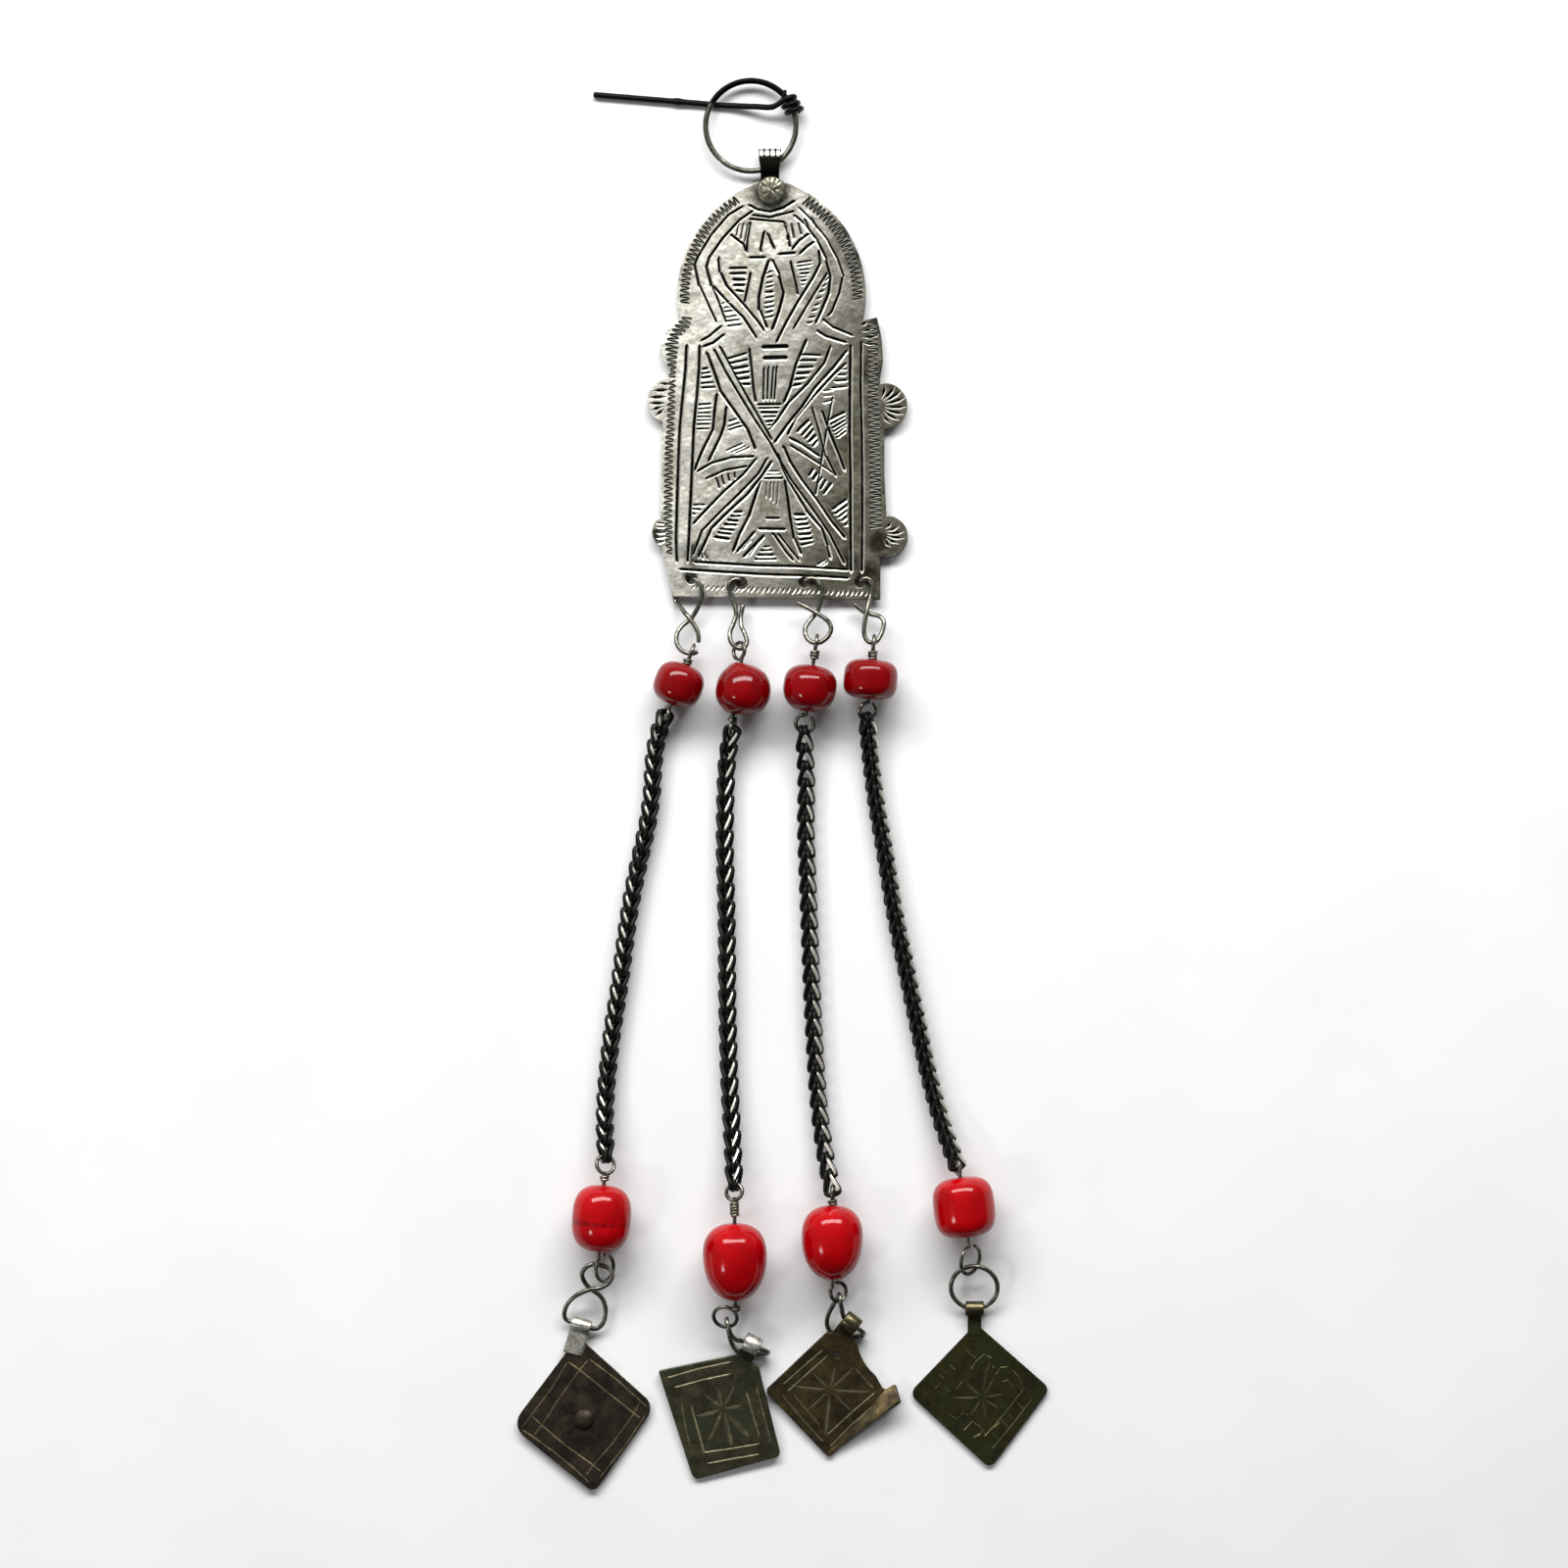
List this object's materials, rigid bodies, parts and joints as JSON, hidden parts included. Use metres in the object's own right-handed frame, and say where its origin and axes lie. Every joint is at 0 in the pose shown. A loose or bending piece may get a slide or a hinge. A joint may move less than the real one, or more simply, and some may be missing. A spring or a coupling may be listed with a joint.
{
  "type": "temporal headdress ornament",
  "caption": "Engraved silver plate hanging from a ring and pin, with chain strands that each carry red glass beads and end in a small bronze pendant.",
  "frame": {"origin": "centre of the ornament's bounding box, on the surface it lies on", "axes": "+Y along the ornament from the pendants to the ring, +X to the right of the engraved side, +Z out of the engraved side"},
  "size_m": [0.0945, 0.2518, 0.0115],
  "materials": {
    "engraved_silver": "engraved, hammered and tarnished",
    "worn_silver": "worn bright on the edges",
    "silver_wire": "drawn wire, darkened in the hollows",
    "blackened_wire": "dull black oxide",
    "blackened_silver": "black oxide, worn bright on the high points",
    "red_glass": "glossy, opaque",
    "cast_bronze": "dark brown patina",
    "sheet_bronze": "olive brown patina",
    "greened_bronze": "green brown patina"
  },
  "bodies": {
    "ornament": {"plate": "engraved_silver", "bail": "worn_silver", "rivet": "worn_silver", "hook_1": "silver_wire", "hook_2": "silver_wire", "hook_3": "silver_wire", "hook_4": "silver_wire", "upper_wire_1": "silver_wire", "upper_wire_2": "silver_wire", "upper_wire_3": "silver_wire", "upper_wire_4": "silver_wire", "upper_bead_1": "red_glass", "upper_bead_2": "red_glass", "upper_bead_3": "red_glass", "upper_bead_4": "red_glass", "chain_1": "blackened_silver", "chain_2": "blackened_silver", "chain_3": "blackened_silver", "chain_4": "blackened_silver", "lower_wire_1": "silver_wire", "lower_wire_2": "silver_wire", "lower_wire_3": "silver_wire", "lower_wire_4": "silver_wire", "lower_bead_1": "red_glass", "lower_bead_2": "red_glass", "lower_bead_3": "red_glass", "lower_bead_4": "red_glass", "drop_link_1": "silver_wire", "drop_link_2": "silver_wire", "drop_link_3": "silver_wire", "drop_link_4": "silver_wire", "pendant_1": "cast_bronze", "pendant_2": "sheet_bronze", "pendant_3": "sheet_bronze", "pendant_4": "greened_bronze"},
    "ring": {"suspension_ring": "silver_wire"},
    "pin": {"hook_pin": "blackened_wire"}
  },
  "joints": [
    {"name": "ring_swing", "type": "hinge", "parent": "ornament", "child": "ring", "pos_m": [-0.0022, 0.11035, 0.00185], "axis": [0.8982, 0.4396, 0], "range_deg": [0, 120]},
    {"name": "pin_swing", "type": "hinge", "parent": "ring", "child": "pin", "pos_m": [0.00137, 0.12133, 0.00185], "axis": [0.5, -0.866, 0], "range_deg": [0, 100]}
  ]
}
